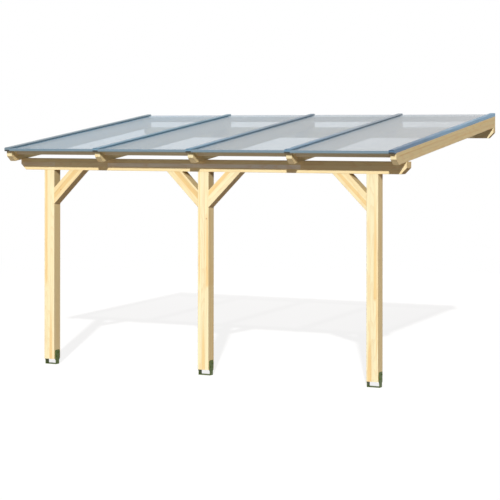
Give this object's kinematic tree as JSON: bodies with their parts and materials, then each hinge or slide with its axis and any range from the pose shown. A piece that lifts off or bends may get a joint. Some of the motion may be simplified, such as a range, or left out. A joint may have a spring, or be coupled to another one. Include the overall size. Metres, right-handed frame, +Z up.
{
  "type": "patio cover",
  "caption": "Lean-to timber patio cover with square posts, head braces, sloping rafters and translucent roof sheets held in glazing bars.",
  "frame": {"origin": "middle of the wall purlin's back face, on the wall", "axes": "+X to the right seen from the garden, +Y out of the wall purlin's back face into the wall, +Z up"},
  "size_m": [4.34, 2.9774, 2.6389],
  "materials": {
    "timber": "planed, clear",
    "batten_timber": "planed, clear",
    "anchor_steel": "satin",
    "roof_sheet": "satin, translucent",
    "bar_metal": "satin",
    "stop_plastic": "matte"
  },
  "bodies": {
    "root": {"front_beam": "timber", "wall_purlin": "timber", "rafter_1": "timber", "rafter_2": "timber", "rafter_3": "timber", "rafter_4": "timber", "rafter_5": "timber", "post_left": "timber", "post_middle": "timber", "post_right": "timber", "brace_left": "timber", "brace_middle_left": "timber", "brace_middle_right": "timber", "brace_right": "timber", "eave_batten_1": "batten_timber", "eave_batten_2": "batten_timber", "eave_batten_3": "batten_timber", "eave_batten_4": "batten_timber", "rear_batten_1": "batten_timber", "rear_batten_2": "batten_timber", "rear_batten_3": "batten_timber", "rear_batten_4": "batten_timber", "anchor_left": "anchor_steel", "anchor_middle": "anchor_steel", "anchor_right": "anchor_steel", "roof_sheet_1": "roof_sheet", "roof_sheet_2": "roof_sheet", "roof_sheet_3": "roof_sheet", "roof_sheet_4": "roof_sheet", "glazing_bar_1": "bar_metal", "glazing_bar_2": "bar_metal", "glazing_bar_3": "bar_metal", "glazing_bar_4": "bar_metal", "glazing_bar_5": "bar_metal", "eave_trim_1": "bar_metal", "eave_trim_2": "bar_metal", "eave_trim_3": "bar_metal", "eave_trim_4": "bar_metal", "end_stop_1": "stop_plastic", "end_stop_2": "stop_plastic", "end_stop_3": "stop_plastic", "end_stop_4": "stop_plastic", "end_stop_5": "stop_plastic"}
  },
  "joints": []
}
